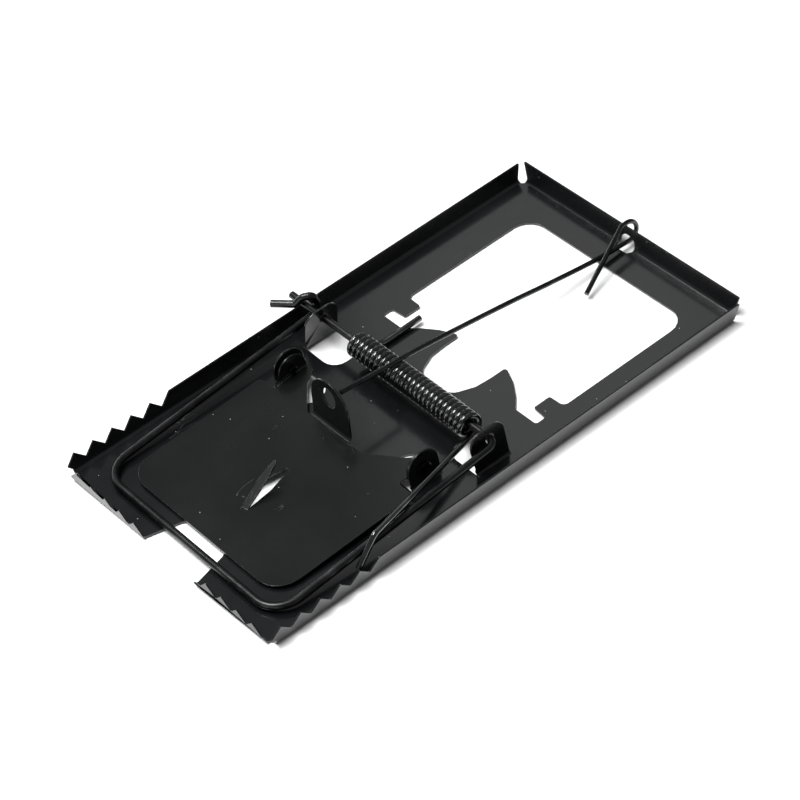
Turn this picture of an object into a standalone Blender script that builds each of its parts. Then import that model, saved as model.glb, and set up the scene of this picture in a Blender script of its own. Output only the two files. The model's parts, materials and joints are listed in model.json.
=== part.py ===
"""All-metal snap mouse trap, sprung and at rest.

The origin is on the tray's underside, on its centre line, below the hammer's axle. +X runs to the
back, +Y to the left and +Z up. The hammer, the treadle and the trip rod each turn about a line
along Y, and each has its origin on that line.
"""
import math

import bmesh
import bpy
from mathutils import Matrix, Vector

# Sheet and wire stock
SHEET = 0.0005
HAMMER_WIRE = 0.0020
SPRING_WIRE = 0.0016
ROD_WIRE = 0.0013
RUNNING_GAP = 0.0003
ARC_STEP = math.radians(18)
UP = Vector((0, 0, 1))

# Tray: lengths from the axle, widths from the centre line
TRAY_WIDTH = 0.0806
FRONT_REACH = 0.0727
BACK_REACH = 0.0730
BEND_RADIUS = 0.0015
CORNER_RELIEF = 0.0006
CORNER_CLOSE = 0.0014
SIDE_HEIGHT = 0.0054
SIDE_BEND = math.radians(82)
BACK_HEIGHT = 0.0058
BACK_BEND = math.radians(81)
FRONT_HEIGHT = 0.0038
FRONT_BEND = math.radians(87)
FRONT_RADIUS = 0.0009
TOOTH_PITCH = 0.0058
TOOTH_DEPTH = 0.0029
TOOTH_LEAN = 0.49
SIDE_TEETH = 6
FIRST_TOOTH = 0.29
END_FLARE = 0.0011

# Openings in the floor
MOUTH_WIDTH = 0.0210
THROAT_WIDTH = 0.0160
THROAT_DEPTH = 0.0089
SLOT_WIDTH = 0.0096
SLOT_FLARE = 0.0026
THROAT_CORNER = 0.0020
SLOT_CENTRE = -0.0013
SLOT_AHEAD_OF_PIVOT = 0.0144
WINDOW_CENTRE = -0.00205
WINDOW_RAIL = 0.0111
WINDOW_BACK_RAIL = 0.0083
WINDOW_CORNER = 0.0055
WINDOW_START = 0.0238
ROD_HOLE_Y = -0.0002
ROD_HOLE_WIDTH = 0.0050
ROD_HOLE_TOP = 0.0036

# Axle and the ears that carry it
AXLE_HEIGHT = 0.0076
EAR_CENTRE = -0.0008
EAR_MARGIN = 0.0082
EAR_AHEAD = 0.0060
EAR_BEHIND = 0.0045
EAR_ABOVE_AXLE = 0.0034
EAR_BEND = math.radians(83)
EAR_FRONT_CORNER = 0.0040
EAR_BACK_CORNER = 0.0030

# Hammer
BOW_FROM_BEND = 0.0049
BOW_CORNER = 0.0075
ARM_SPLAY = 0.0029
AXLE_CORNER = 0.0026
HOOK_CORNER = 0.0013
HOOK_ABOVE_AXLE = 0.0030
AXLE_END_OVERHANG = 0.0028
TAIL_LENGTH = 0.0075
TAIL_SPREAD = 0.0080
TAIL_DROP = 0.0026
TAIL_STEP_OUT = 0.0053
TAIL_OVER_FLANGE = 0.0008

# Spring
COIL_DIAMETER = 0.0054
TURN_GAP = 0.00005
COIL_LEFT_GAP = 0.0139
COIL_RIGHT_GAP = 0.0071
SPRING_LEG = 0.0200
SPRING_ARM = 0.0389
SPRING_TAIL = 0.0066
SPRING_OVERHANG = 0.0020
SPRING_TIP_HEIGHT = 0.0022
FIXED_LEG_ANGLE = math.radians(-48)

# Treadle
PIVOT_AHEAD = 0.0154
PIVOT_HEIGHT = 0.0047
TREADLE_MARGIN = 0.0045
TREADLE_FROM_BEND = 0.0091
TREADLE_CORNER = 0.0070
TREADLE_REST_GAP = 0.00052
TREADLE_DROP = 0.0020
TREADLE_BEND = 0.0010
TREADLE_NOTCH = 0.0065
TREADLE_NICK = 0.0011
TREADLE_CURVE = 0.0055
PEDAL_EAR_INSET = 0.0046
PEDAL_EAR_RADIUS = 0.0042
PEDAL_EAR_GAP = 0.0006
BASE_EAR_RADIUS = 0.00465
BASE_EAR_LIFT = 0.0007
EAR_BLANK = 0.0118
TRIP_EAR_CENTRE = 0.0029
TRIP_EAR_WIDTH = 0.0143
TRIP_EAR_AHEAD = 0.0060
TRIP_EAR_HEIGHT = 0.0140
TRIP_EAR_BEND = math.radians(84)
TRIP_HOLE_WIDTH = 0.0049
TRIP_HOLE_HEIGHT = 0.0058
TRIP_HOLE_LIFT = 0.0080
TONGUE_SETBACK = 0.0116
TONGUE_LENGTH = 0.0166
TONGUE_LEFT = 0.0029
TONGUE_RIGHT = 0.0010
TONGUE_CURLED_LEFT = 0.0013
TONGUE_ROOT = 0.0018
TONGUE_BEND = math.radians(24)
TONGUE_SKEW = math.radians(8)
TONGUE_SLIT = 0.00025
TONGUE_CENTRE = -0.0022

# Pivot rivets
RIVET_SHANK = 0.0014
RIVET_HEAD = 0.0040
RIVET_PEENED = 0.0023
RIVET_HEAD_THICKNESS = 0.0007

# Trip rod
RING_RADIUS = 0.0027
RING_HEIGHT = 0.0045
RING_BEHIND_BEND = 0.0019
ROD_TAIL_LENGTH = 0.0212
ROD_TAIL_SPREAD = 0.0068
ROD_TAIL_DROP = 0.0056
ROD_TIP_PAST_EAR = 0.0026
ROD_TIP_RISE = 0.0010
ROD_LEAN = 0.0020

# Values that follow from the ones above
EAR_HEIGHT = AXLE_HEIGHT + EAR_ABOVE_AXLE
EAR_HALF = TRAY_WIDTH / 2 - EAR_MARGIN
ARM_HALF = EAR_HALF + HAMMER_WIRE / 2 + SHEET + RUNNING_GAP
COIL_PITCH = SPRING_WIRE + TURN_GAP
TREADLE_HALF = ARM_HALF - TREADLE_MARGIN
PEDAL_EAR_FACE = TREADLE_HALF - PEDAL_EAR_INSET
BASE_EAR_FACE = PEDAL_EAR_FACE + PEDAL_EAR_GAP
PIVOT_X = -PIVOT_AHEAD
TREADLE_REACH = FRONT_REACH - TREADLE_FROM_BEND - PIVOT_AHEAD
TREADLE_TILT = math.asin((PIVOT_HEIGHT - TREADLE_DROP - SHEET - TREADLE_REST_GAP) / TREADLE_REACH)
RING_X = BACK_REACH + RING_BEHIND_BEND
HAMMER_RADIUS = HAMMER_WIRE / 2
SPRING_RADIUS = SPRING_WIRE / 2
ROD_RADIUS = ROD_WIRE / 2
COIL_HEIGHT = AXLE_HEIGHT - (COIL_DIAMETER / 2 - SPRING_RADIUS - HAMMER_RADIUS - RUNNING_GAP)


def clear_scene():
    for old in list(bpy.data.objects):
        bpy.data.objects.remove(old, do_unlink=True)


def rounded(corners, closed=True):
    """Points of an outline or a path, from (point, radius) corners, with each radius drawn as an arc."""
    points = []
    for index, (corner, radius) in enumerate(corners):
        corner = Vector(corner).to_3d()
        if radius == 0 or (not closed and index in (0, len(corners) - 1)):
            points.append(corner)
            continue
        before = (Vector(corners[index - 1][0]).to_3d() - corner).normalized()
        after = (Vector(corners[(index + 1) % len(corners)][0]).to_3d() - corner).normalized()
        half = before.angle(after) / 2
        turn = math.pi - 2 * half
        reach = radius / math.tan(half)
        centre = corner + (before + after).normalized() * (radius / math.sin(half))
        start = corner + before * reach - centre
        stop = corner + after * reach - centre
        steps = max(2, round(turn / ARC_STEP))
        for step in range(steps + 1):
            share = step / steps
            swung = start * math.sin((1 - share) * turn) + stop * math.sin(share * turn)
            points.append(centre + swung / math.sin(turn))
    return points


def circle(x, y, radius, squash=1.0):
    """A closed loop of points: a circle, or an oval when squash differs from 1."""
    steps = 20
    angles = [2 * math.pi * step / steps for step in range(steps)]
    return [Vector((x + radius * math.cos(a), y + radius * squash * math.sin(a), 0)) for a in angles]


def fill(mesh, loops, normal):
    """Fills the plane region between the first loop and the others, which are its holes."""
    edges = []
    for loop in loops:
        for first, second in zip(loop, loop[1:] + loop[:1]):
            edges.append(mesh.edges.get((first, second)) or mesh.edges.new((first, second)))
    bmesh.ops.triangle_fill(mesh, use_beauty=True, edges=edges, normal=normal)


def fold_tab(mesh, root, radius, bend, corners, holes=()):
    """Folds a tab up from the edge between the two root points, to the right of that edge.

    The corners after the two at the root, and the holes, are (along, up) on the tab's flat face.
    """
    first, last = (min(mesh.verts, key=lambda v: (v.co - Vector(end).to_3d()).length) for end in root)
    along = (last.co - first.co).normalized()
    out = along.cross(UP)
    start, width = first.co.copy(), (last.co - first.co).length
    steps = max(2, round(bend / ARC_STEP))
    for step in range(1, steps + 1):
        angle = bend * step / steps
        lift = out * (radius * math.sin(angle)) + UP * (radius * (1 - math.cos(angle)))
        pair = [mesh.verts.new(start + lift), mesh.verts.new(start + along * width + lift)]
        mesh.faces.new((first, last, pair[1], pair[0]))
        first, last = pair
    rise = out * math.cos(bend) + UP * math.sin(bend)
    outline = rounded([((0, 0), 0), ((width, 0), 0)] + corners)
    loops = [[first, last] + [mesh.verts.new(first.co + along * p.x + rise * p.y) for p in outline[2:]]]
    for hole in holes:
        loops.append([mesh.verts.new(first.co + along * p.x + rise * p.y) for p in hole])
    fill(mesh, loops, out * math.sin(bend) - UP * math.cos(bend))


def flat_up(height, radius, bend):
    """The distance up a tab's flat face at which it reaches a height above the sheet's underside."""
    return (height - radius * (1 - math.cos(bend))) / math.sin(bend)


def sheet_object(name, mesh, thickness):
    """Turns a surface of a sheet's lower face into a solid of the sheet's thickness."""
    bmesh.ops.recalc_face_normals(mesh, faces=mesh.faces)
    floor = max(mesh.faces, key=lambda face: abs(face.normal.z) * face.calc_area())
    if floor.normal.z < 0:
        bmesh.ops.reverse_faces(mesh, faces=mesh.faces)
    data = bpy.data.meshes.new(name)
    mesh.to_mesh(data)
    mesh.free()
    made = bpy.data.objects.new(name, data)
    bpy.context.scene.collection.objects.link(made)
    solid = made.modifiers.new("Sheet thickness", "SOLIDIFY")
    solid.thickness = thickness
    solid.offset = 1
    solid.use_even_offset = True
    solid.use_quality_normals = True
    return made


def wire_object(name, points, radius, sides_level):
    """A round wire along the points, as a curve with a bevel and filled ends."""
    curve = bpy.data.curves.new(name, "CURVE")
    curve.dimensions = "3D"
    curve.bevel_depth = radius
    curve.bevel_resolution = sides_level
    curve.use_fill_caps = True
    spline = curve.splines.new("POLY")
    spline.points.add(len(points) - 1)
    for knot, point in zip(spline.points, points):
        knot.co = (*point, 1)
    made = bpy.data.objects.new(name, curve)
    bpy.context.scene.collection.objects.link(made)
    return made


def set_origin(made, origin):
    """Moves an object's origin to a point, with its shape left where it is."""
    made.data.transform(Matrix.Translation(-Vector(origin)))
    made.location = origin


def coat(made, colour, roughness, metallic):
    material = bpy.data.materials.new(made.name + "_finish")
    material.use_nodes = True
    shader = material.node_tree.nodes["Principled BSDF"]
    shader.inputs["Base Color"].default_value = (*colour, 1)
    shader.inputs["Roughness"].default_value = roughness
    shader.inputs["Metallic"].default_value = metallic
    made.data.materials.append(material)


def new_loop(mesh, points):
    return [mesh.verts.new(point) for point in points]


def teeth(first_tip, count, height):
    """The top edge of a toothed flange, starting and ending on a tip."""
    points = []
    for tooth in range(count):
        tip = first_tip + tooth * TOOTH_PITCH
        points.append(((tip, height), 0))
        if tooth < count - 1:
            points.append(((tip + TOOTH_LEAN * TOOTH_PITCH, height - TOOTH_DEPTH), 0))
    return points


def front_gap():
    """The Y ends of the front flange's gap, right then left."""
    return SLOT_CENTRE - MOUTH_WIDTH / 2, SLOT_CENTRE + MOUTH_WIDTH / 2


def floor_outline():
    """The floor's outer edge, anticlockwise from the right end of the front gap."""
    front, back = -FRONT_REACH, BACK_REACH
    side = TRAY_WIDTH / 2 - BEND_RADIUS
    gap_right, gap_left = front_gap()
    throat, slot = THROAT_WIDTH / 2, SLOT_WIDTH / 2
    slot_end = PIVOT_X - SLOT_AHEAD_OF_PIVOT
    hole = ROD_HOLE_WIDTH / 2
    return [
        ((front, gap_right), 0),
        ((front, -side + CORNER_RELIEF), 0),
        ((front + CORNER_RELIEF, -side), 0),
        ((back - CORNER_RELIEF, -side), 0),
        ((back, -side + CORNER_RELIEF), 0),
        ((back, ROD_HOLE_Y - hole), 0),
        ((back - hole * 0.55, ROD_HOLE_Y - hole * 0.75), 0.0009),
        ((back - hole * 0.55, ROD_HOLE_Y + hole * 0.75), 0.0009),
        ((back, ROD_HOLE_Y + hole), 0),
        ((back, side - CORNER_RELIEF), 0),
        ((back - CORNER_RELIEF, side), 0),
        ((front + CORNER_RELIEF, side), 0),
        ((front, side - CORNER_RELIEF), 0),
        ((front, gap_left), 0),
        ((front + THROAT_DEPTH, SLOT_CENTRE + throat), THROAT_CORNER),
        ((front + THROAT_DEPTH + throat - slot, SLOT_CENTRE + slot), THROAT_CORNER),
        ((slot_end, SLOT_CENTRE + slot + SLOT_FLARE), slot),
        ((slot_end, SLOT_CENTRE - slot), slot * 0.98),
        ((front + THROAT_DEPTH + throat - slot, SLOT_CENTRE - slot), THROAT_CORNER),
        ((front + THROAT_DEPTH, SLOT_CENTRE - throat), THROAT_CORNER),
    ]


def window_outline():
    """The large window, with the two hooked tabs and the winged rail at its front."""
    half = TRAY_WIDTH / 2 - WINDOW_RAIL
    back = BACK_REACH - WINDOW_BACK_RAIL
    start = WINDOW_START
    left = [
        ((back, half), WINDOW_CORNER),
        ((start, half), 0.0015),
        ((start - 0.0002, half - 0.0050), 0.0006),
        ((start - 0.0054, half - 0.0050), 0.0006),
        ((start - 0.0058, half - 0.0004), 0.0007),
        ((start - 0.0087, half - 0.0004), 0.0007),
        ((start - 0.0087, half * 0.733), 0.0008),
        ((start - 0.0057, half * 0.623), 0),
        ((start - 0.0028, half * 0.479), 0),
        ((start - 0.0005, half * 0.298), 0.0008),
        ((start - 0.0054, half * 0.298), 0),
        ((start - 0.0101, half * 0.284), 0.0030),
        ((start - 0.0150, half * 0.209), 0.0030),
        ((start - 0.0166, half * 0.116), 0.0015),
    ]
    corners = [((x, WINDOW_CENTRE + y), radius) for (x, y), radius in left]
    corners += [((x, WINDOW_CENTRE - y), radius) for (x, y), radius in reversed(left)]
    return corners


def ear_blank(side):
    """The hole that an axle ear was folded out of. side is 1 on the left and -1 on the right."""
    line = EAR_CENTRE + side * (EAR_HALF + BEND_RADIUS * math.tan(EAR_BEND / 2))
    reach = EAR_HEIGHT + BEND_RADIUS * (EAR_BEND / 2 + math.tan(EAR_BEND / 2)) / 2
    return [
        ((-EAR_AHEAD, line), 0),
        ((EAR_BEHIND, line), 0),
        ((EAR_BEHIND, line - side * reach), EAR_BACK_CORNER),
        ((-EAR_AHEAD, line - side * reach), EAR_FRONT_CORNER),
    ]


def pivot_blank(side):
    """The hole that a pivot ear was folded out of."""
    line = side * (BASE_EAR_FACE + BEND_RADIUS)
    return [
        ((PIVOT_X - BASE_EAR_RADIUS, line), 0),
        ((PIVOT_X + BASE_EAR_RADIUS, line), 0),
        ((PIVOT_X + BASE_EAR_RADIUS, line - side * EAR_BLANK), BASE_EAR_RADIUS * 0.95),
        ((PIVOT_X - BASE_EAR_RADIUS, line - side * EAR_BLANK), BASE_EAR_RADIUS * 0.95),
    ]


def fold_flanges(mesh):
    front, back = -FRONT_REACH, BACK_REACH
    side = TRAY_WIDTH / 2 - BEND_RADIUS
    length = back - front - 2 * CORNER_RELIEF
    top = flat_up(SIDE_HEIGHT, BEND_RADIUS, SIDE_BEND)
    toothed = teeth(FIRST_TOOTH * TOOTH_PITCH, SIDE_TEETH, top)
    from_front = [((-END_FLARE, top - TOOTH_DEPTH), 0)] + toothed + [((length + CORNER_CLOSE, top), 0.0003)]
    ends = (front + CORNER_RELIEF, -side), (back - CORNER_RELIEF, -side)
    fold_tab(mesh, ends, BEND_RADIUS, SIDE_BEND, from_front[::-1])
    from_back = [((length - x, y), radius) for (x, y), radius in from_front]
    ends = (back - CORNER_RELIEF, side), (front + CORNER_RELIEF, side)
    fold_tab(mesh, ends, BEND_RADIUS, SIDE_BEND, from_back)

    gap_right, gap_left = front_gap()
    top = flat_up(FRONT_HEIGHT, FRONT_RADIUS, FRONT_BEND)
    valley = top - TOOTH_DEPTH
    for high, low in ((side - CORNER_RELIEF, gap_left), (gap_right, -side + CORNER_RELIEF)):
        width = high - low
        count = int(width / TOOTH_PITCH)
        margin = (width - (count - 1) * TOOTH_PITCH) / 2
        edge = [((0, valley), 0)]
        for (x, y), radius in teeth(margin, count, top):
            edge.append(((x, y), radius))
        edge.insert(1, ((margin - TOOTH_PITCH / 2, valley), 0))
        edge += [((width - margin + TOOTH_PITCH / 2, valley), 0), ((width, valley), 0)]
        fold_tab(mesh, ((front, high), (front, low)), FRONT_RADIUS, FRONT_BEND, edge[::-1])


def fold_back_flange(mesh):
    """The back flange is one strip of bend either side of the rod's hole, joined above it."""
    side = TRAY_WIDTH / 2 - BEND_RADIUS - CORNER_RELIEF
    hole = ROD_HOLE_WIDTH / 2
    steps = max(2, round(BACK_BEND / ARC_STEP))
    rows = []
    for step in range(steps + 1):
        angle = BACK_BEND * step / steps
        x = BACK_REACH + BEND_RADIUS * math.sin(angle)
        z = BEND_RADIUS * (1 - math.cos(angle))
        rows.append([Vector((x, y, z)) for y in (-side, ROD_HOLE_Y - hole, ROD_HOLE_Y + hole, side)])
    grid = []
    for row in rows:
        found = []
        for point in row:
            near = [v for v in mesh.verts if (v.co - point).length < 1e-6]
            found.append(near[0] if near else mesh.verts.new(point))
        grid.append(found)
    for low, high in zip(grid, grid[1:]):
        for first in (0, 2):
            mesh.faces.new((low[first], low[first + 1], high[first + 1], high[first]))
    rise = Vector((math.cos(BACK_BEND), 0, math.sin(BACK_BEND)))
    top = rise * flat_up(BACK_HEIGHT, BEND_RADIUS, BACK_BEND)
    arch = rise * flat_up(ROD_HOLE_TOP, BEND_RADIUS, BACK_BEND)
    close = Vector((0, CORNER_CLOSE, 0))
    low = grid[-1]
    corners = [
        (low[0].co, 0), (low[1].co, 0), (low[1].co + arch, hole * 0.9), (low[2].co + arch, hole * 0.9),
        (low[2].co, 0), (low[3].co, 0), (low[3].co + top + close, 0.0003), (low[0].co + top - close, 0.0003),
    ]
    loop = []
    for point in rounded(corners):
        near = [v for v in low if (v.co - point).length < 1e-6]
        loop.append(near[0] if near else mesh.verts.new(point))
    fill(mesh, [loop], Vector((math.sin(BACK_BEND), 0, -math.cos(BACK_BEND))))


def make_tray():
    mesh = bmesh.new()
    loops = [new_loop(mesh, rounded(floor_outline())), new_loop(mesh, rounded(window_outline()))]
    for side in (1, -1):
        loops.append(new_loop(mesh, rounded(ear_blank(side))))
        loops.append(new_loop(mesh, rounded(pivot_blank(side))))
    fill(mesh, loops, UP)
    fold_flanges(mesh)
    fold_back_flange(mesh)

    ear_top = flat_up(EAR_HEIGHT, BEND_RADIUS, EAR_BEND)
    ear_width = EAR_AHEAD + EAR_BEHIND
    axle_up = flat_up(AXLE_HEIGHT, BEND_RADIUS, EAR_BEND)
    hole_radius = HAMMER_RADIUS + RUNNING_GAP
    pivot_up = flat_up(PIVOT_HEIGHT, BEND_RADIUS, math.pi / 2)
    rivet_hole = RIVET_SHANK / 2 + RUNNING_GAP
    for side in (1, -1):
        ends = [corner[0] for corner in ear_blank(side)[:2]][::side]
        front, back = ((0, ear_top), EAR_FRONT_CORNER), ((ear_width, ear_top), EAR_BACK_CORNER)
        axle_along = EAR_AHEAD
        if side < 0:
            front, back = ((0, ear_top), EAR_BACK_CORNER), ((ear_width, ear_top), EAR_FRONT_CORNER)
            axle_along = EAR_BEHIND
        hole = circle(axle_along, axle_up, hole_radius)
        fold_tab(mesh, ends, BEND_RADIUS, EAR_BEND, [back, front], [hole])
        ends = [corner[0] for corner in pivot_blank(side)[:2]][::side]
        width = 2 * BASE_EAR_RADIUS
        top = pivot_up + BASE_EAR_LIFT + BASE_EAR_RADIUS
        dome = [((width, top), BASE_EAR_RADIUS * 0.98), ((0, top), BASE_EAR_RADIUS * 0.98)]
        hole = circle(width / 2, pivot_up, rivet_hole)
        fold_tab(mesh, ends, BEND_RADIUS, math.pi / 2, dome, [hole])
    made = sheet_object("base_tray", mesh, SHEET)
    coat(made, (0.016, 0.017, 0.018), 0.32, 0.0)
    return made


def make_treadle():
    """The treadle is laid out flat about its pivot and then tilted to its resting angle."""
    mesh = bmesh.new()
    front = -FRONT_REACH + TREADLE_FROM_BEND + PIVOT_AHEAD
    bend_line = PEDAL_EAR_FACE - TREADLE_BEND
    notch = -TREADLE_NOTCH
    ear = PEDAL_EAR_RADIUS
    trip_left = TRIP_EAR_CENTRE + TRIP_EAR_WIDTH / 2
    trip_right = TRIP_EAR_CENTRE - TRIP_EAR_WIDTH / 2
    trip_line = -TRIP_EAR_AHEAD
    arm_end = ear + TREADLE_NICK / 10
    inner = bend_line - 2 * TREADLE_NICK
    right_wing, left_wing = trip_right + inner, inner - trip_left
    outline = [
        ((front, -TREADLE_HALF), TREADLE_CORNER),
        ((notch, -TREADLE_HALF), TREADLE_NICK),
        ((notch, -bend_line), 0.0006),
        ((-ear, -bend_line), 0),
        ((ear, -bend_line), 0),
        ((arm_end, -inner), 0.0004),
        ((0.0002, trip_right - 0.85 * right_wing), TREADLE_CURVE),
        ((trip_line, trip_right - 0.30 * right_wing), TREADLE_CURVE),
        ((trip_line, trip_right), 0),
        ((trip_line, trip_left), 0),
        ((trip_line, trip_left + 0.12 * left_wing), TREADLE_NICK),
        ((0.0002, trip_left + 0.78 * left_wing), TREADLE_CURVE),
        ((arm_end, inner), 0.0004),
        ((ear, bend_line), 0),
        ((-ear, bend_line), 0),
        ((notch, bend_line), 0.0006),
        ((notch, TREADLE_HALF), TREADLE_NICK),
        ((front, TREADLE_HALF), TREADLE_CORNER),
    ]
    skew = Matrix.Rotation(TONGUE_SKEW, 3, "Z")
    middle = Vector((front + TONGUE_SETBACK, TONGUE_CENTRE, 0))
    root, belly = TONGUE_ROOT / 2, TONGUE_LENGTH * 0.5
    leaf = [
        ((0, -root), 0),
        ((belly, -TONGUE_RIGHT - TONGUE_SLIT), 0.0060),
        ((TONGUE_LENGTH + 4 * TONGUE_SLIT, 0), 0.0006),
        ((belly, TONGUE_LEFT + TONGUE_SLIT), 0.0020),
        ((0, root), 0),
    ]
    leaf = [(middle + skew @ Vector((*point, 0)), radius) for point, radius in leaf]
    fill(mesh, [new_loop(mesh, rounded(outline)), new_loop(mesh, rounded(leaf))], UP)

    lift = TREADLE_DROP
    top = lift + ear
    dome = [((2 * ear, top - TREADLE_BEND), ear * 0.98), ((0, top - TREADLE_BEND), ear * 0.98)]
    hole = circle(ear, lift - TREADLE_BEND, RIVET_SHANK / 2 + RUNNING_GAP)
    fold_tab(mesh, ((-ear, -bend_line), (ear, -bend_line)), TREADLE_BEND, math.pi / 2, dome, [hole])
    fold_tab(mesh, ((ear, bend_line), (-ear, bend_line)), TREADLE_BEND, math.pi / 2, dome, [hole])

    width = TRIP_EAR_WIDTH
    crown = flat_up(TRIP_EAR_HEIGHT, BEND_RADIUS, TRIP_EAR_BEND)
    arch = [((width, crown), width * 0.47), ((0, crown), width * 0.47)]
    oval = circle(width / 2, TRIP_HOLE_LIFT, TRIP_HOLE_WIDTH / 2, TRIP_HOLE_HEIGHT / TRIP_HOLE_WIDTH)
    ends = (trip_line, trip_right), (trip_line, trip_left)
    fold_tab(mesh, ends, BEND_RADIUS, TRIP_EAR_BEND, arch, [oval])

    blade = [((root + TONGUE_CURLED_LEFT, belly), 0.0020), ((root, TONGUE_LENGTH), 0.0005),
             ((root - TONGUE_RIGHT, belly), 0.0060)]
    fold_tab(mesh, (leaf[0][0], leaf[-1][0]), BEND_RADIUS, TONGUE_BEND, blade)
    made = sheet_object("treadle", mesh, SHEET)
    made.data.transform(Matrix.Translation((0, 0, -TREADLE_DROP)))
    made.location = (PIVOT_X, 0, PIVOT_HEIGHT)
    made.rotation_euler.y = -TREADLE_TILT
    coat(made, (0.016, 0.017, 0.018), 0.32, 0.0)
    return made


def arm_height(x):
    """The height of a hammer arm's centre line, which runs straight from the axle to the bow."""
    bow_x = -FRONT_REACH + BOW_FROM_BEND
    bow_z = SHEET + RUNNING_GAP + HAMMER_RADIUS
    return AXLE_HEIGHT + (bow_z - AXLE_HEIGHT) * x / bow_x


def make_hammer():
    """One wire: the axle, the right arm, the bow, the left arm and the hook round the axle's end."""
    bow_x = -FRONT_REACH + BOW_FROM_BEND
    bow_z = arm_height(bow_x)
    left, right = EAR_CENTRE + ARM_HALF, EAR_CENTRE - ARM_HALF
    wrap = HAMMER_WIRE + RUNNING_GAP
    hook_y = left + ARM_SPLAY
    axle_end = TRAY_WIDTH / 2 + AXLE_END_OVERHANG
    top = AXLE_HEIGHT + HOOK_ABOVE_AXLE
    flange_y = TRAY_WIDTH / 2 - BEND_RADIUS
    corners = [
        ((0, axle_end, AXLE_HEIGHT), 0),
        ((0, right, AXLE_HEIGHT), AXLE_CORNER),
        ((bow_x, right, bow_z), BOW_CORNER),
        ((bow_x, left, bow_z), BOW_CORNER),
        ((wrap * 0.1, hook_y - wrap * 0.26, AXLE_HEIGHT - wrap), HOOK_CORNER * 1.4),
        ((wrap * 1.1, hook_y - wrap * 0.13, AXLE_HEIGHT + wrap * 0.1), HOOK_CORNER),
        ((wrap * 0.7, hook_y, top), HOOK_CORNER),
        ((-wrap * 0.2, axle_end - TAIL_STEP_OUT, AXLE_HEIGHT + wrap + RUNNING_GAP), HOOK_CORNER),
        ((-wrap * 0.9, flange_y, AXLE_HEIGHT + TAIL_OVER_FLANGE), HOOK_CORNER),
        ((wrap * 0.7 - TAIL_LENGTH, hook_y + TAIL_SPREAD, top - TAIL_DROP), 0),
    ]
    made = wire_object("hammer", rounded(corners, closed=False), HAMMER_RADIUS, 2)
    set_origin(made, (0, 0, AXLE_HEIGHT))
    coat(made, (0.030, 0.031, 0.033), 0.28, 0.9)
    return made


def coil_ends():
    """Where the coil's turns start, on the left, and end, on the right."""
    left = EAR_CENTRE + EAR_HALF - COIL_LEFT_GAP
    right = EAR_CENTRE - EAR_HALF + COIL_RIGHT_GAP
    turns = int((left - right) / COIL_PITCH)
    return left, left - turns * COIL_PITCH, turns


def make_spring():
    """The coil hangs on the axle. Its left leg lies on the floor and its right leg holds the hammer down."""
    radius = COIL_DIAMETER / 2
    start, stop, turns = coil_ends()
    floor_z = SHEET + RUNNING_GAP + SPRING_RADIUS
    leg_turn = FIXED_LEG_ANGLE
    leg_start = Vector((radius * math.cos(leg_turn), start, COIL_HEIGHT + radius * math.sin(leg_turn)))
    route = [
        ((SPRING_LEG, start + 0.0004, floor_z), 0),
        ((leg_start.x + COIL_DIAMETER, start + 0.0002, floor_z), COIL_DIAMETER),
        (tuple(leg_start), 0),
    ]
    points = rounded(route, closed=False)[:-1]
    steps = 12
    total = turns * 2 * math.pi + leg_turn + math.pi / 2
    count = round(total / (2 * math.pi) * steps)
    for step in range(count + 1):
        share = step / count
        angle = leg_turn - total * share
        y = start + (stop - start) * share
        points.append(Vector((radius * math.cos(angle), y, COIL_HEIGHT + radius * math.sin(angle))))
    coil = wire_object("spring_coil", points, SPRING_RADIUS, 1)
    coat(coil, (0.10, 0.10, 0.105), 0.25, 1.0)

    leave_y = stop - SPRING_WIRE - RUNNING_GAP
    leave_z = COIL_HEIGHT - radius
    right = EAR_CENTRE - ARM_HALF
    corner_y = right - SPRING_OVERHANG
    crossing = (leave_y - right) / (leave_y - corner_y)
    clear = HAMMER_RADIUS + SPRING_RADIUS + 2 * RUNNING_GAP
    corner_z = leave_z + (arm_height(-SPRING_ARM * crossing) + clear - leave_z) / crossing
    corners = [
        ((-RUNNING_GAP, leave_y, leave_z), 0),
        ((-SPRING_ARM, corner_y, corner_z), 0.0020),
        ((-SPRING_ARM - SPRING_TAIL, corner_y - SPRING_RADIUS, SPRING_TIP_HEIGHT), 0),
    ]
    arm = wire_object("spring_arm", rounded(corners, closed=False), SPRING_RADIUS, 2)
    set_origin(arm, (0, 0, AXLE_HEIGHT))
    coat(arm, (0.10, 0.10, 0.105), 0.25, 1.0)
    return coil, arm


def smooth(knots, steps):
    """Points of a Catmull-Rom curve through the knots."""
    knots = [Vector(knot) for knot in knots]
    padded = [2 * knots[0] - knots[1]] + knots + [2 * knots[-1] - knots[-2]]
    points = []
    for a, b, c, d in zip(padded, padded[1:], padded[2:], padded[3:]):
        for step in range(steps):
            t = step / steps
            points.append(
                0.5 * (2 * b + (c - a) * t + (2 * a - 5 * b + 4 * c - d) * t**2 + (3 * b - a - 3 * c + d) * t**3)
            )
    return points + [knots[-1]]


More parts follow.
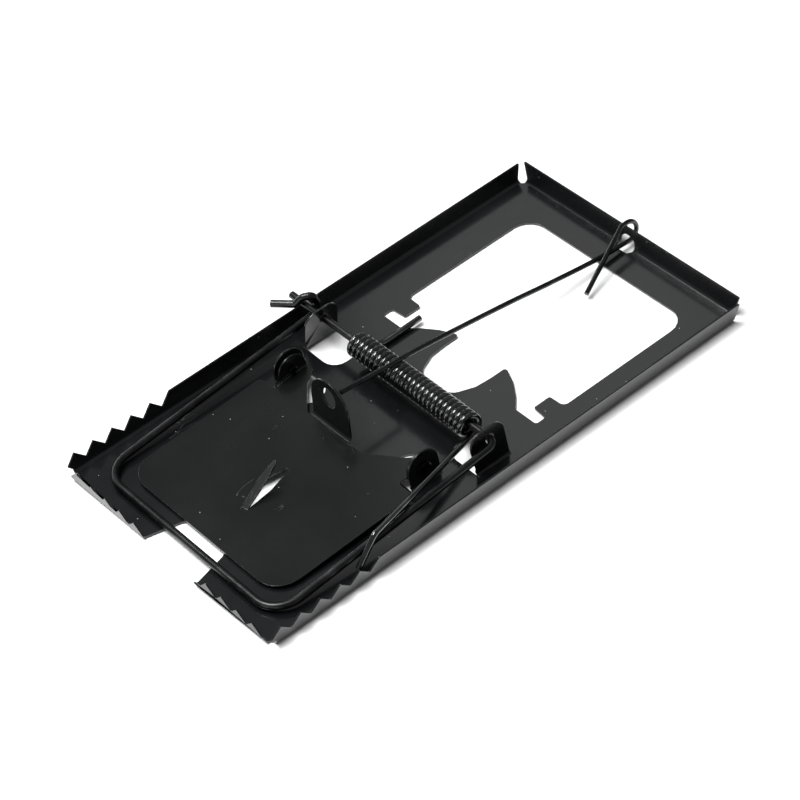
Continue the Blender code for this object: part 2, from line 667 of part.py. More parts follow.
def make_trip_rod():
    """One wire: the long rod, the ring round the back flange's edge and the short tail."""
    low = RING_HEIGHT - RING_RADIUS
    over_coil = COIL_HEIGHT + COIL_DIAMETER / 2 + SPRING_RADIUS + ROD_RADIUS + 0.6 * RUNNING_GAP
    lean = ROD_LEAN - ROD_HOLE_Y
    tip_x = PIVOT_X - TRIP_EAR_AHEAD + BEND_RADIUS + SHEET + ROD_TIP_PAST_EAR
    knots = [(tip_x, ROD_LEAN, over_coil + ROD_TIP_RISE)]
    for along, down in ((-0.05, 0), (0.09, 0.06), (0.43, 0.39), (0.64, 0.66), (0.85, 0.91), (1, 1)):
        side = ROD_HOLE_Y + lean * (1 - along) ** 2 * 0.7
        knots.append((RING_X * along, side, over_coil + (low - over_coil) * down))
    points = smooth(knots, 4)
    steps = 10
    for step in range(1, steps + 1):
        angle = -math.pi / 2 + math.pi * step / steps
        x = RING_X + RING_RADIUS * math.cos(angle)
        z = RING_HEIGHT + RING_RADIUS * math.sin(angle)
        points.append(Vector((x, ROD_HOLE_Y + ROD_RADIUS * step / steps, z)))
    ring_top = RING_HEIGHT + RING_RADIUS
    tail_y = ROD_HOLE_Y + ROD_RADIUS
    tail = [
        ((RING_X, tail_y, ring_top), 0),
        ((RING_X - 0.7 * RING_RADIUS, tail_y, ring_top), RING_RADIUS),
        ((RING_X - ROD_TAIL_LENGTH, -ROD_TAIL_SPREAD, ring_top - ROD_TAIL_DROP), 0),
    ]
    points += rounded(tail, closed=False)[1:]
    made = wire_object("trip_rod", points, ROD_RADIUS, 2)
    set_origin(made, (RING_X, 0, RING_HEIGHT))
    coat(made, (0.11, 0.11, 0.115), 0.25, 1.0)
    return made


def make_rivets():
    """Each rivet is a turned profile about its own Y axis: outer head, shank and peened inner head."""
    for side, name in ((1, "pivot_rivet_left"), (-1, "pivot_rivet_right")):
        outer_face = BASE_EAR_FACE + SHEET + RUNNING_GAP / 2
        inner_face = PEDAL_EAR_FACE - SHEET - RUNNING_GAP / 2
        outside = outer_face + RIVET_HEAD_THICKNESS
        inside = inner_face - RIVET_HEAD_THICKNESS
        head, peened, shank = RIVET_HEAD / 2, RIVET_PEENED / 2, RIVET_SHANK / 2
        profile = [
            (0, outside), (head * 0.55, outside), (head * 0.9, outside - RIVET_HEAD_THICKNESS * 0.4),
            (head, outer_face), (shank, outer_face), (shank, inner_face), (peened, inner_face),
            (peened * 0.85, inside + RIVET_HEAD_THICKNESS * 0.4), (peened * 0.4, inside), (0, inside),
        ]
        mesh = bmesh.new()
        verts = [mesh.verts.new((radius, side * y, 0)) for radius, y in profile]
        edges = [mesh.edges.new(pair) for pair in zip(verts, verts[1:])]
        bmesh.ops.spin(
            mesh, geom=verts + edges, axis=(0, 1, 0), cent=(0, 0, 0), steps=20, angle=2 * math.pi,
            use_merge=True,
        )
        bmesh.ops.remove_doubles(mesh, verts=mesh.verts, dist=1e-6)
        bmesh.ops.recalc_face_normals(mesh, faces=mesh.faces)
        data = bpy.data.meshes.new(name)
        mesh.to_mesh(data)
        mesh.free()
        data.shade_smooth()
        data.set_sharp_from_angle(angle=math.radians(35))
        made = bpy.data.objects.new(name, data)
        bpy.context.scene.collection.objects.link(made)
        made.location = (PIVOT_X, 0, PIVOT_HEIGHT)
        coat(made, (0.05, 0.05, 0.053), 0.3, 0.9)


clear_scene()
make_tray()
make_treadle()
make_hammer()
make_spring()
make_trip_rod()
make_rivets()
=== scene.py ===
import json
import math

import bpy
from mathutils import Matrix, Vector


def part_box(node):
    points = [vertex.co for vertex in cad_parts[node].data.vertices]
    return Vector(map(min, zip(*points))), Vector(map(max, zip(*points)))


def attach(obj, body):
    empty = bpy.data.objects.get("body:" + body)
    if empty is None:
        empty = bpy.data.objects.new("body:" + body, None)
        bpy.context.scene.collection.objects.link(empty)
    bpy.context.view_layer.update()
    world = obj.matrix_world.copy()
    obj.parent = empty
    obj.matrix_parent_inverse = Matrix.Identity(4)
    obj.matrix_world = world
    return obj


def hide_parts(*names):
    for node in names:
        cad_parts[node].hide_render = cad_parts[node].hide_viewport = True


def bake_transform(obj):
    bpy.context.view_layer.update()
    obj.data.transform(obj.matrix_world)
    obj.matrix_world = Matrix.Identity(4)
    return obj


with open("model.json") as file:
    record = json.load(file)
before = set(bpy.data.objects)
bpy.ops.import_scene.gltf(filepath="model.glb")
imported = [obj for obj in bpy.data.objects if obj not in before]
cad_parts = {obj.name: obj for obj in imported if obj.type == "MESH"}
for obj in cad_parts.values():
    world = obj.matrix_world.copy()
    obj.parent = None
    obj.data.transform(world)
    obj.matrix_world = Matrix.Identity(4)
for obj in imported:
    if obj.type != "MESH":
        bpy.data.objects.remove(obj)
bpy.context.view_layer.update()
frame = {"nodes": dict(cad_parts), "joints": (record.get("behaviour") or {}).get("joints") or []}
mm = 0.001
joints = {joint["name"]: Vector(joint["pos_m"]) for joint in frame["joints"]}
axle = joints["hammer_swing"]
pivot = joints["treadle_tilt"]
ring = joints["trip_rod_swing"]


def linearColour(hexText, alpha=1.0):
    channels = [int(hexText[i:i + 2], 16) / 255 for i in (1, 3, 5)]
    return (*[c / 12.92 if c <= 0.04045 else ((c + 0.055) / 1.055) ** 2.4 for c in channels], alpha)


def addNode(tree, kind, settings=None, links=None):
    node = tree.nodes.new(kind)
    for name, value in (settings or {}).items():
        if name in node.inputs:
            node.inputs[name].default_value = value
        else:
            setattr(node, name, value)
    for name, source in (links or {}).items():
        tree.links.new(source, node.inputs[name])
    return node


# camera, lights and floor; the trap is built below

camera = dict(
    place=(-0.29151, -0.44445, 0.49928), turn=(46.311, 7.330, -40.046), lens=134.906, sensor=36, nearest=0.01,
)

cameraData = bpy.data.cameras.new("studioCamera")
cameraData.sensor_width = camera["sensor"]
cameraData.lens = camera["lens"]
cameraData.clip_start = camera["nearest"]
cameraObject = bpy.data.objects.new("studioCamera", cameraData)
cameraObject.location = camera["place"]
cameraObject.rotation_euler = [math.radians(a) for a in camera["turn"]]
bpy.context.scene.collection.objects.link(cameraObject)
bpy.context.scene.camera = cameraObject
bpy.context.scene.view_settings.view_transform = "Standard"

# the big overhead box lights the paper but isn't mirrored, so it doesn't glare on the flat sheets
lights = dict(
    overhead=dict(place=(-0.20, 0.10, 1.00), size=(0.70, 0.60), power=17.0, aim=(0, 0, 0), mirrored=False),
    rearStrip=dict(place=(-0.30, 0.36, 1.00), size=(0.66, 0.10), power=6.5, aim=(0, 0, 0), mirrored=True),
    backCard=dict(place=(0.32, 0.35, 0.47), size=(0.20, 0.26), power=0.10, aim=(0.03, -0.02, 0), mirrored=True),
    frontFill=dict(place=(-0.80, -0.10, 0.20), size=(0.60, 0.24), power=0.7, aim=(0, 0, 0), mirrored=True),
    leftStrip=dict(place=(-0.05, 0.80, 0.26), size=(0.50, 0.06), power=1.2, aim=(0.02, 0, 0), mirrored=True),
)
room = dict(colour="#f4f5f6", strength=0.155)


def addSoftbox(name, look):
    data = bpy.data.lights.new(name, "AREA")
    data.shape = "RECTANGLE"
    data.size, data.size_y = look["size"]
    data.energy = look["power"]
    made = bpy.data.objects.new(name, data)
    made.location = look["place"]
    made.visible_glossy = look["mirrored"]
    aim = Vector(look["aim"]) - Vector(look["place"])
    made.rotation_euler = aim.to_track_quat("-Z", "Y").to_euler()
    bpy.context.scene.collection.objects.link(made)


for name, look in lights.items():
    addSoftbox(name, look)

world = bpy.data.worlds.new("studio")
world.use_nodes = True
bpy.context.scene.world = world
world.node_tree.nodes["Background"].inputs["Color"].default_value = linearColour(room["colour"])
world.node_tree.nodes["Background"].inputs["Strength"].default_value = room["strength"]

paper = dict(
    dark="#dedede", light="#e4e4e4", roughness=0.95, specular=0.1, grainMm=1.1111, size=6, height=-0.3 * mm,
)


def makePaperFloor(look):
    # matt studio sweep paper: gives an even white with soft contact shadows
    material = bpy.data.materials.new("sweepPaper")
    material.use_nodes = True
    tree = material.node_tree
    shader = tree.nodes["Principled BSDF"]
    shader.inputs["Roughness"].default_value = look["roughness"]
    shader.inputs["Specular IOR Level"].default_value = look["specular"]
    place = addNode(tree, "ShaderNodeTexCoord").outputs["Object"]
    grain = addNode(tree, "ShaderNodeTexNoise", {"Scale": 1000 / look["grainMm"], "Detail": 3}, {"Vector": place})
    tone = addNode(tree, "ShaderNodeValToRGB", {}, {"Fac": grain.outputs["Fac"]})
    tone.color_ramp.elements[0].color = linearColour(look["dark"])
    tone.color_ramp.elements[1].color = linearColour(look["light"])
    tree.links.new(tone.outputs["Color"], shader.inputs["Base Color"])
    bpy.ops.mesh.primitive_plane_add(size=look["size"], location=(0, 0, look["height"]))
    sweep = bpy.context.object
    sweep.name = "sweep"
    sweep.data.materials.append(material)


makePaperFloor(paper)
print("studio ready")

paint = dict(
    film="#090a0b", thin="#111213", thinFrom=0.35, thinTo=0.75, cloudMm=26.0,
    ior=1.52, coat=0.45, coatRoughness=0.12, roughness=(0.16, 0.30),
    scuff="#292b2c", scratchMm=7.0, scratchTurn=0.7, scratchStretch=0.35, scratchWidth=0.007, scratchDull=0.25,
    bendMm=7.1429, bend=0.012, patchMm=19.2308, patchFrom=0.65,
    dust="#9a9da0", dustMm=2.2, dustSize=0.055, dustFrom=0.80,
    # bare: the rubbed edges' colour, partly real bare steel and partly a painted highlight along the edges
    bareAndHighlight="#a4a7aa", edgeMm=0.12, rubFrom=0.985, rubTo=0.88, breakMm=2.38095, breakFrom=0.30, breakTo=0.62,
    peelMm=1.4, peelHeight=0.000012, peelStrength=0.8, wrinkleMm=9.0, wrinkleHeight=0.00009, wrinkleStrength=0.7,
)
treadlePaintLook = dict(paint, film="#040505", thin="#0a0b0b")


def addCompare(tree, operation, source, limit):
    node = addNode(tree, "ShaderNodeMath", {"operation": operation}, {0: source})
    node.inputs[1].default_value = limit
    return node.outputs[0]


def addProduct(tree, first, second):
    return addNode(tree, "ShaderNodeMath", {"operation": "MULTIPLY"}, {0: first, 1: second}).outputs[0]


def addTint(tree, amount, under, hexText):
    node = addNode(tree, "ShaderNodeMix", {"data_type": "RGBA"}, {0: amount, 6: under})
    node.inputs[7].default_value = linearColour(hexText)
    return node.outputs[2]


def makeBlackEnamel(name, look, duller):
    # black enamel dipped over pressed sheet steel: a hard gloss film, thin and rubbed to bare steel on the cut edges,
    # which are also lightened as a painted highlight
    material = bpy.data.materials.new(name)
    material.use_nodes = True
    tree = material.node_tree
    shader = tree.nodes["Principled BSDF"]
    shader.inputs["IOR"].default_value = look["ior"]
    shader.inputs["Coat Weight"].default_value = look["coat"]
    shader.inputs["Coat Roughness"].default_value = look["coatRoughness"]
    place = addNode(tree, "ShaderNodeTexCoord").outputs["Object"]

    # soft clouds where the dip ran thinner
    cloud = addNode(
        tree, "ShaderNodeTexNoise", {"Scale": 1000 / look["cloudMm"], "Detail": 5, "Roughness": 0.55},
        {"Vector": place},
    )
    film = addNode(tree, "ShaderNodeValToRGB", {}, {"Fac": cloud.outputs["Fac"]})
    film.color_ramp.elements[0].position = look["thinFrom"]
    film.color_ramp.elements[0].color = linearColour(look["film"])
    film.color_ramp.elements[1].position = look["thinTo"]
    film.color_ramp.elements[1].color = linearColour(look["thin"])

    # fine scratches along bent cell borders, only in patches
    stretch = addNode(
        tree, "ShaderNodeMapping",
        {"Scale": (look["scratchStretch"], 1.0, 1.0), "Rotation": (0, 0, look["scratchTurn"])}, {"Vector": place},
    ).outputs["Vector"]
    warp = addNode(tree, "ShaderNodeTexNoise", {"Scale": 1000 / look["bendMm"], "Detail": 2}, {"Vector": stretch})
    warped = addNode(
        tree, "ShaderNodeMix", {"data_type": "VECTOR"}, {4: stretch, 5: warp.outputs["Color"]},
    )
    warped.inputs["Factor"].default_value = look["bend"]
    cells = addNode(
        tree, "ShaderNodeTexVoronoi", {"feature": "DISTANCE_TO_EDGE", "Scale": 1000 / look["scratchMm"]},
        {"Vector": warped.outputs[1]},
    )
    hair = addCompare(tree, "LESS_THAN", cells.outputs["Distance"], look["scratchWidth"])
    patch = addNode(tree, "ShaderNodeTexNoise", {"Scale": 1000 / look["patchMm"], "Detail": 2}, {"Vector": place})
    patchOn = addCompare(tree, "GREATER_THAN", patch.outputs["Fac"], look["patchFrom"])
    scratch = addProduct(tree, hair, patchOn)
    scratched = addTint(tree, scratch, film.outputs["Color"], look["scuff"])

    # specks of lint and dust
    specks = addNode(tree, "ShaderNodeTexVoronoi", {"Scale": 1000 / look["dustMm"]}, {"Vector": place})
    speck = addCompare(tree, "LESS_THAN", specks.outputs["Distance"], look["dustSize"])
    seldom = addNode(tree, "ShaderNodeSeparateColor", {}, {"Color": specks.outputs["Color"]})
    pick = addCompare(tree, "GREATER_THAN", seldom.outputs[0], look["dustFrom"])
    dusty = addTint(tree, addProduct(tree, speck, pick), scratched, look["dust"])

    # cut edges and bends, rubbed through to bare steel; the bare colour is also made light enough to act as a painted
    # highlight along every edge
    rounded = addNode(tree, "ShaderNodeBevel", {"Radius": look["edgeMm"] * mm, "samples": 6})
    flat = addNode(tree, "ShaderNodeNewGeometry")
    turn = addNode(
        tree, "ShaderNodeVectorMath", {"operation": "DOT_PRODUCT"}, {0: rounded.outputs[0], 1: flat.outputs["Normal"]},
    )
    edgeWearAndHighlightMask = addNode(
        tree, "ShaderNodeMapRange",
        {"From Min": look["rubFrom"], "From Max": look["rubTo"], "To Min": 0.0, "To Max": 1.0},
        {"Value": turn.outputs["Value"]},
    )
    breakUp = addNode(tree, "ShaderNodeTexNoise", {"Scale": 1000 / look["breakMm"], "Detail": 4}, {"Vector": place})
    breakOn = addNode(
        tree, "ShaderNodeMapRange", {"From Min": look["breakFrom"], "From Max": look["breakTo"]},
        {"Value": breakUp.outputs["Fac"]},
    )
    wearAndHighlight = addProduct(tree, edgeWearAndHighlightMask.outputs[0], breakOn.outputs[0])
    tree.links.new(addTint(tree, wearAndHighlight, dusty, look["bareAndHighlight"]), shader.inputs["Base Color"])
    tree.links.new(wearAndHighlight, shader.inputs["Metallic"])

    # gloss wanders a little, and scratches are duller
    gloss = addNode(
        tree, "ShaderNodeMapRange",
        {"To Min": look["roughness"][0] + duller, "To Max": look["roughness"][1] + duller},
        {"Value": cloud.outputs["Fac"]},
    )
    dull = addNode(tree, "ShaderNodeMath", {"operation": "MULTIPLY_ADD"}, {0: scratch, 2: gloss.outputs[0]})
    dull.inputs[1].default_value = look["scratchDull"]
    tree.links.new(dull.outputs[0], shader.inputs["Roughness"])

    # orange peel in the film, over the press's shallow waves
    peel = addNode(tree, "ShaderNodeTexNoise", {"Scale": 1000 / look["peelMm"], "Detail": 2}, {"Vector": place})
    wave = addNode(tree, "ShaderNodeTexNoise", {"Scale": 1000 / look["wrinkleMm"], "Detail": 1}, {"Vector": place})
    waveBump = addNode(
        tree, "ShaderNodeBump", {"Distance": look["wrinkleHeight"], "Strength": look["wrinkleStrength"]},
        {"Height": wave.outputs["Fac"]},
    )
    peelBump = addNode(
        tree, "ShaderNodeBump", {"Distance": look["peelHeight"], "Strength": look["peelStrength"]},
        {"Height": peel.outputs["Fac"], "Normal": waveBump.outputs["Normal"]},
    )
    tree.links.new(peelBump.outputs["Normal"], shader.inputs["Normal"])
    return material


wireLooks = dict(
    hammer=dict(dark="#3a3b3b", light="#4f5050", rub="#6f7070", grainMm=0.6, roughness=(0.26, 0.38)),
    spring=dict(dark="#5c5d5d", light="#7a7b7b", rub="#acadad", grainMm=0.6, roughness=(0.10, 0.18)),
    rod=dict(dark="#3e3f3f", light="#565757", rub="#767777", grainMm=0.5, roughness=(0.20, 0.30)),
    rivet=dict(dark="#1a1b1d", light="#2a2c2e", rub="#505356", grainMm=0.5, roughness=(0.22, 0.34)),
)
steelBlotch = dict(blotchMm=6.0, darkTo=0.34, lightFrom=0.62, rubFrom=0.86, dentDepth=0.00001, dentStrength=0.3)


def makeDrawnSteel(name, look):
    # hard-drawn spring steel wire, oil-blackened: dark grey metal with brighter rubbed streaks
    material = bpy.data.materials.new(name)
    material.use_nodes = True
    tree = material.node_tree
    shader = tree.nodes["Principled BSDF"]
    shader.inputs["Metallic"].default_value = 1.0
    place = addNode(tree, "ShaderNodeTexCoord").outputs["Object"]
    blotch = addNode(
        tree, "ShaderNodeTexNoise", {"Scale": 1000 / steelBlotch["blotchMm"], "Detail": 5, "Roughness": 0.6},
        {"Vector": place},
    )
    tone = addNode(tree, "ShaderNodeValToRGB", {}, {"Fac": blotch.outputs["Fac"]})
    tone.color_ramp.elements[0].position = steelBlotch["darkTo"]
    tone.color_ramp.elements[0].color = linearColour(look["dark"])
    tone.color_ramp.elements[1].position = steelBlotch["lightFrom"]
    tone.color_ramp.elements[1].color = linearColour(look["light"])
    brighter = tone.color_ramp.elements.new(steelBlotch["rubFrom"])
    brighter.color = linearColour(look["rub"])
    tree.links.new(tone.outputs["Color"], shader.inputs["Base Color"])
    grain = addNode(tree, "ShaderNodeTexNoise", {"Scale": 1000 / look["grainMm"], "Detail": 3}, {"Vector": place})
    gloss = addNode(
        tree, "ShaderNodeMapRange", {"To Min": look["roughness"][0], "To Max": look["roughness"][1]},
        {"Value": grain.outputs["Fac"]},
    )
    tree.links.new(gloss.outputs[0], shader.inputs["Roughness"])
    dents = addNode(
        tree, "ShaderNodeBump", {"Distance": steelBlotch["dentDepth"], "Strength": steelBlotch["dentStrength"]},
        {"Height": grain.outputs["Fac"]},
    )
    tree.links.new(dents.outputs["Normal"], shader.inputs["Normal"])
    return material


trayPaint = makeBlackEnamel("blackEnamelTray", paint, 0.0)
treadlePaint = makeBlackEnamel("blackEnamelTreadle", treadlePaintLook, 0.03)
wireSteel = {name: makeDrawnSteel(name + "DrawnSteel", look) for name, look in wireLooks.items()}
print("finishes ready")


# pressed sheet pieces: the frame's own sheets, merged and given broken edges
sheets = dict(
    trayShell=dict(
        node="base_tray", body="tray", slot="black_tray_steel", finish=trayPaint,
        flares=(
            dict(root=-16.5 * mm, end=-11.7 * mm, out=1.5 * mm, side=1.2 * mm),
            dict(root=35.0 * mm, end=38.3 * mm, out=0.6 * mm, side=0.4 * mm),
        ),
    ),
    treadlePlate=dict(
        node="treadle", body="bait_treadle", slot="black_treadle_steel", finish=treadlePaint, flares=(),
    ),
)
sheetEdge = dict(
    width=0.09 * mm, angle=38, segments=2, merge=0.004 * mm, dissolve=1.2, smooth=60, flatWeight=100,
)
flareReach = dict(depth=1.6 * mm, height=2.2 * mm, past=1.2)


def bendOut(made, flare):
    # a front tooth knocked outwards: the flange leans further the nearer it is to its free end
    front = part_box("base_tray")[0].x + flareReach["depth"]
    for vertex in made.data.vertices:
        share = (vertex.co.y - flare["root"]) / (flare["end"] - flare["root"])
        if 0 < share < flareReach["past"] and vertex.co.x < front:
            lift = min(1, max(0, vertex.co.z / flareReach["height"]))
            vertex.co.x -= flare["out"] * share ** 2 * lift
            vertex.co.y += flare["side"] * share ** 2 * lift


def refineSheet(name, look):
    bpy.ops.object.select_all(action="DESELECT")
    made = bpy.data.objects.new(name, frame["nodes"][look["node"]].data.copy())
    bpy.context.scene.collection.objects.link(made)
    bpy.context.view_layer.objects.active = made
    made.select_set(True)
    made.data.materials.clear()
    made.data.materials.append(look["finish"])
    importedNormals = made.data.attributes.get("custom_normal")
    if importedNormals:
        made.data.attributes.remove(importedNormals)
    bpy.ops.object.mode_set(mode="EDIT")
    bpy.ops.mesh.select_all(action="SELECT")
    bpy.ops.mesh.remove_doubles(threshold=sheetEdge["merge"])
    bpy.ops.mesh.dissolve_limited(angle_limit=math.radians(sheetEdge["dissolve"]))
    bpy.ops.object.mode_set(mode="OBJECT")
    for flare in look["flares"]:
        bendOut(made, flare)
    edge = made.modifiers.new("brokenEdge", "BEVEL")
    edge.width = sheetEdge["width"]
    edge.segments = sheetEdge["segments"]
    edge.limit_method = "ANGLE"
    edge.angle_limit = math.radians(sheetEdge["angle"])
    edge.use_clamp_overlap = False
    bpy.ops.object.modifier_apply(modifier=edge.name)
    bpy.ops.object.shade_smooth_by_angle(angle=math.radians(sheetEdge["smooth"]))
    weigh = made.modifiers.new("flatFaces", "WEIGHTED_NORMAL")
    weigh.weight = sheetEdge["flatWeight"]
    weigh.keep_sharp = True
    bpy.ops.object.modifier_apply(modifier=weigh.name)
    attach(made, look["body"])
    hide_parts(look["node"])


for name, look in sheets.items():
    refineSheet(name, look)
print("sheets ready")


wireMesh = dict(cornerStep=7, cornerSteps=3, sides=5, merge=0.001 * mm, endSegments=3, smooth=50)


def roundedPath(corners):
    # each corner is a place and the radius of its bend; the two ends have no bend
    points = [Vector(corners[0][0])]
    for (before, _), (corner, radius), (after, _) in zip(corners, corners[1:], corners[2:]):
        corner = Vector(corner)
        back = (Vector(before) - corner).normalized()
        ahead = (Vector(after) - corner).normalized()
        half = back.angle(ahead) / 2
        turn = math.pi - 2 * half
        centre = corner + (back + ahead).normalized() * (radius / math.sin(half))
        start = corner + back * (radius / math.tan(half)) - centre
        stop = corner + ahead * (radius / math.tan(half)) - centre
        steps = max(wireMesh["cornerSteps"], round(math.degrees(turn) / wireMesh["cornerStep"]))
        for step in range(steps + 1):
            share = step / steps
            swung = start * math.sin((1 - share) * turn) + stop * math.sin(share * turn)
            points.append(centre + swung / math.sin(turn))
    points.append(Vector(corners[-1][0]))
    return points


def drawWire(name, points, look, finish):
    bpy.ops.object.select_all(action="DESELECT")
    bpy.ops.curve.primitive_nurbs_path_add(location=(0, 0, 0))
    path = bpy.context.object
    path.name = name
    path.data.splines.clear()
    line = path.data.splines.new("POLY")
    line.points.add(len(points) - 1)
    for knot, point in zip(line.points, points):
        knot.co = (*point, 1)
    path.data.bevel_depth = look["diameter"] / 2
    path.data.bevel_resolution = wireMesh["sides"]
    path.data.use_fill_caps = True
    bpy.ops.object.convert(target="MESH")
    wire = bpy.context.object
    wire.name = name
    wire.data.materials.clear()
    wire.data.materials.append(finish)
    bpy.ops.object.mode_set(mode="EDIT")
    bpy.ops.mesh.select_mode(type="FACE")
    bpy.ops.mesh.select_all(action="SELECT")
    bpy.ops.mesh.remove_doubles(threshold=wireMesh["merge"])
    bpy.ops.mesh.select_all(action="DESELECT")
    bpy.ops.object.mode_set(mode="OBJECT")
    for face in wire.data.polygons:
        face.select = len(face.vertices) > 4  # the two sheared ends
    bpy.ops.object.mode_set(mode="EDIT")
    bpy.ops.mesh.region_to_loop()
    bpy.ops.mesh.bevel(offset=look["endRound"], segments=wireMesh["endSegments"])
    bpy.ops.mesh.select_all(action="SELECT")
    bpy.ops.mesh.normals_make_consistent(inside=False)
    bpy.ops.object.mode_set(mode="OBJECT")
    bpy.ops.object.shade_smooth_by_angle(angle=math.radians(wireMesh["smooth"]))
    return wire


hammerWire = dict(
    diameter=2.0 * mm, endRound=0.25 * mm, gap=0.3 * mm, leftY=33.1 * mm, rightY=-34.7 * mm,
    bowX=-67.8 * mm, bowZ=1.8 * mm, bowCorner=7.5 * mm, axleCorner=2.6 * mm, axleEndY=43.1 * mm,
    hookY=36.0 * mm, hookRise=3.0 * mm, hookCorner=1.3 * mm, tailLength=7.5 * mm, tailSpread=8.0 * mm,
    tailDrop=2.6 * mm, tailStepY=37.8 * mm, flangeY=38.8 * mm, overFlange=0.8 * mm,
)


def makeHammer(look):
    # one wire: axle, right arm, bow, left arm, hook round the axle, and the tail that dips over the side flange
    wrap = look["diameter"] + look["gap"]
    hookY = look["hookY"]
    hookTop = axle.z + look["hookRise"]
    bend = look["hookCorner"]
    corners = [
        ((0, look["axleEndY"], axle.z), 0),
        ((0, look["rightY"], axle.z), look["axleCorner"]),
        ((look["bowX"], look["rightY"], look["bowZ"]), look["bowCorner"]),
        ((look["bowX"], look["leftY"], look["bowZ"]), look["bowCorner"]),
        ((wrap * 0.1, hookY - wrap * 0.26, axle.z - wrap), bend * 1.4),
        ((wrap * 1.1, hookY - wrap * 0.13, axle.z + wrap * 0.1), bend),
        ((wrap * 0.7, hookY, hookTop), bend),
        ((-wrap * 0.2, look["tailStepY"], axle.z + wrap + look["gap"]), bend),
        ((-wrap * 0.9, look["flangeY"], axle.z + look["overFlange"]), bend),
        ((wrap * 0.7 - look["tailLength"], hookY + look["tailSpread"], hookTop - look["tailDrop"]), 0),
    ]
    made = drawWire("hammerWire", roundedPath(corners), look, wireSteel["hammer"])
    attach(made, "hammer_frame")
    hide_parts("hammer")


makeHammer(hammerWire)

springWire = dict(
    diameter=1.6 * mm, endRound=0.2 * mm, coilDiameter=5.4 * mm, coilZ=7.0 * mm, turns=26, stepsInTurn=26,
    startY=17.4 * mm, pitch=1.65 * mm, legX=20.0 * mm, legZ=1.6 * mm, legTurn=-48, legSpread=(0.4 * mm, 0.2 * mm),
    armX=-38.9 * mm, armY=-36.7 * mm, armZ=8.2 * mm, armCorner=2.0 * mm,
    tipX=-45.5 * mm, tipY=-37.5 * mm, tipZ=2.2 * mm, twistFrom=2 * mm, twistTo=1 * mm,
)


def makeSpring(look):
    # left leg on the floor, coil round the axle, right arm over the hammer's right arm; the coil twists between them
    radius = look["coilDiameter"] / 2
    startY = look["startY"]
    stopY = startY - look["turns"] * look["pitch"]
    legTurn = math.radians(look["legTurn"])
    legTop = Vector((radius * math.cos(legTurn), startY, look["coilZ"] + radius * math.sin(legTurn)))
    leg = roundedPath([
        ((look["legX"], startY + look["legSpread"][0], look["legZ"]), 0),
        ((legTop.x + look["coilDiameter"], startY + look["legSpread"][1], look["legZ"]), look["coilDiameter"]),
        (tuple(legTop), 0),
    ])[:-1]
    total = look["turns"] * 2 * math.pi + legTurn + math.pi / 2
    count = round(total / (2 * math.pi) * look["stepsInTurn"])
    coil = []
    for step in range(count + 1):
        share = step / count
        angle = legTurn - total * share
        y = startY + (stopY - startY) * share
        coil.append(Vector((radius * math.cos(angle), y, look["coilZ"] + radius * math.sin(angle))))
    arm = roundedPath([
        (tuple(coil[-1]), 0),
        ((look["armX"], look["armY"], look["armZ"]), look["armCorner"]),
        ((look["tipX"], look["tipY"], look["tipZ"]), 0),
    ])[1:]
    made = drawWire("springWire", leg + coil + arm, look, wireSteel["spring"])
    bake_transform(made)
    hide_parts("spring_coil", "spring_arm")


makeSpring(springWire)

rodWire = dict(
    diameter=1.3 * mm, endRound=0.18 * mm, ringRadius=2.7 * mm, ringSteps=24, holeY=-0.2 * mm,
    overCoil=11.33 * mm, lean=2.0 * mm, leanShare=0.7, tipX=-16.8 * mm, tipRise=1.0 * mm, knotSteps=10,
    shank=((-0.05, 0), (0.09, 0.06), (0.43, 0.39), (0.64, 0.66), (0.85, 0.91), (1, 1)),
    tailLength=21.2 * mm, tailSpread=6.8 * mm, tailDrop=5.6 * mm, tailTurn=0.7,
)


def smoothCurve(knots, steps):
    knots = [Vector(knot) for knot in knots]
    padded = [2 * knots[0] - knots[1]] + knots + [2 * knots[-1] - knots[-2]]
    points = []
    for a, b, c, d in zip(padded, padded[1:], padded[2:], padded[3:]):
        for step in range(steps):
            t = step / steps
            bend = (2 * a - 5 * b + 4 * c - d) * t**2 + (3 * b - a - 3 * c + d) * t**3
            points.append(0.5 * (2 * b + (c - a) * t + bend))
    return points + [knots[-1]]


def makeTripRod(look):
    # the shank's pairs are shares of the way to the ring and of the drop from over the coil to the hole
    turn = look["ringRadius"]
    drop = ring.z - turn - look["overCoil"]
    lean = look["lean"] - look["holeY"]
    knots = [(look["tipX"], look["lean"], look["overCoil"] + look["tipRise"])]
    for along, down in look["shank"]:
        side = look["holeY"] + lean * (1 - along) ** 2 * look["leanShare"]
        knots.append((ring.x * along, side, look["overCoil"] + drop * down))
    points = smoothCurve(knots, look["knotSteps"])
    tailY = look["holeY"] + look["diameter"] / 2
    for step in range(1, look["ringSteps"] + 1):
        share = step / look["ringSteps"]
        angle = -math.pi / 2 + math.pi * share
        side = look["holeY"] + look["diameter"] / 2 * share
        points.append(Vector((ring.x + turn * math.cos(angle), side, ring.z + turn * math.sin(angle))))
    points += roundedPath([
        ((ring.x, tailY, ring.z + turn), 0),
        ((ring.x - look["tailTurn"] * turn, tailY, ring.z + turn), turn),
        ((ring.x - look["tailLength"], -look["tailSpread"], ring.z + turn - look["tailDrop"]), 0),
    ])[1:]
    made = drawWire("tripRodWire", points, look, wireSteel["rod"])
    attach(made, "rod")
    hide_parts("trip_rod")


makeTripRod(rodWire)
print("wires ready")


# the domed rings of a rivet's head: share of the head's height, and how far the ring shrinks
rivets = dict(
    headDiameter=4.0 * mm, headHeight=0.7 * mm, shank=1.4 * mm, peened=2.3 * mm, sides=40,
    dome=((0.45, 1.0), (0.30, 0.86), (0.17, 0.76), (0.08, 0.60)), edge=0.05 * mm, edgeSegments=2, smooth=40,
)


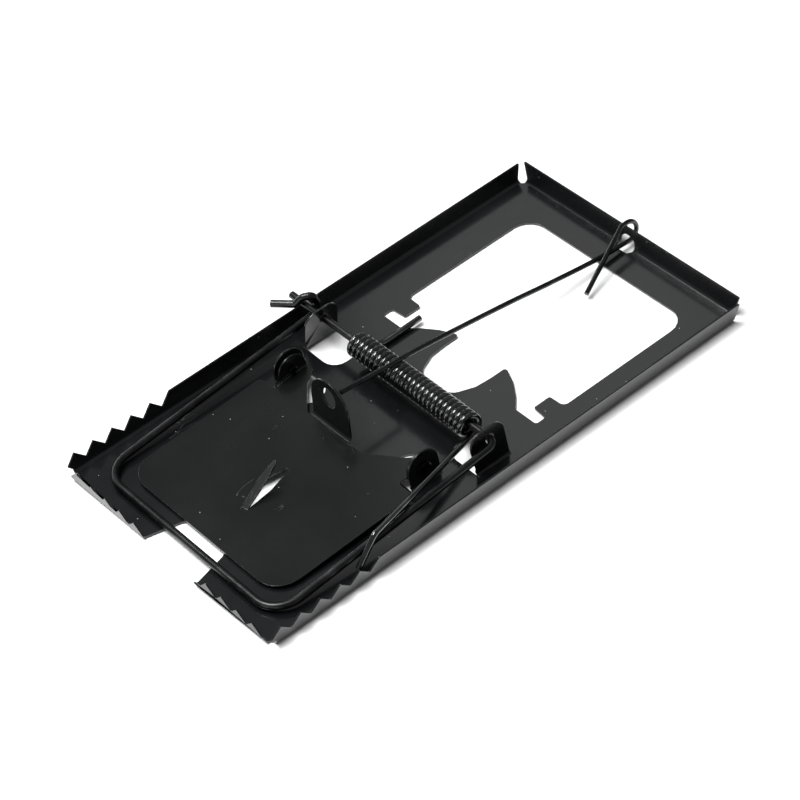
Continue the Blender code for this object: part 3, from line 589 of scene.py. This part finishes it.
def makeHead(made, facing, radius, look):
    bpy.ops.object.mode_set(mode="EDIT")
    bpy.ops.mesh.select_mode(type="FACE")
    bpy.ops.mesh.select_all(action="DESELECT")
    bpy.ops.object.mode_set(mode="OBJECT")
    for face in made.data.polygons:
        face.select = face.normal.y * facing > 0.9 and len(face.vertices) > 8
    bpy.ops.object.mode_set(mode="EDIT")
    centre = (pivot.x, 0, pivot.z)
    grow = radius / (look["shank"] / 2)
    bpy.ops.mesh.extrude_region_move()
    bpy.ops.transform.resize(value=(grow, 1, grow), center_override=centre)
    for lift, shrink in look["dome"]:
        move = facing * look["headHeight"] * lift
        bpy.ops.mesh.extrude_region_move(TRANSFORM_OT_translate={"value": (0, move, 0)})
        bpy.ops.transform.resize(value=(shrink, 1, shrink), center_override=centre)
    bpy.ops.object.mode_set(mode="OBJECT")


def makeRivet(name, side, node, look):
    low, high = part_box(node)
    bpy.ops.object.select_all(action="DESELECT")
    bpy.ops.mesh.primitive_cylinder_add(
        vertices=look["sides"], radius=look["shank"] / 2, depth=high.y - low.y - 2 * look["headHeight"],
        location=(pivot.x, (low.y + high.y) / 2, pivot.z), rotation=(math.radians(-90 * side), 0, 0),
    )
    made = bpy.context.object
    made.name = name
    bpy.ops.object.transform_apply(location=True, rotation=True, scale=True)
    made.data.materials.append(wireSteel["rivet"])
    makeHead(made, side, look["headDiameter"] / 2, look)
    makeHead(made, -side, look["peened"] / 2, look)
    bpy.ops.object.mode_set(mode="EDIT")
    bpy.ops.mesh.select_all(action="SELECT")
    bpy.ops.mesh.normals_make_consistent(inside=False)
    bpy.ops.object.mode_set(mode="OBJECT")
    edge = made.modifiers.new("headEdge", "BEVEL")
    edge.width = look["edge"]
    edge.segments = look["edgeSegments"]
    bpy.ops.object.modifier_apply(modifier=edge.name)
    bpy.ops.object.shade_smooth_by_angle(angle=math.radians(look["smooth"]))
    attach(made, "tray")
    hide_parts(node)


makeRivet("rivetLeft", 1, "pivot_rivet_left", rivets)
makeRivet("rivetRight", -1, "pivot_rivet_right", rivets)
print("rivets ready")
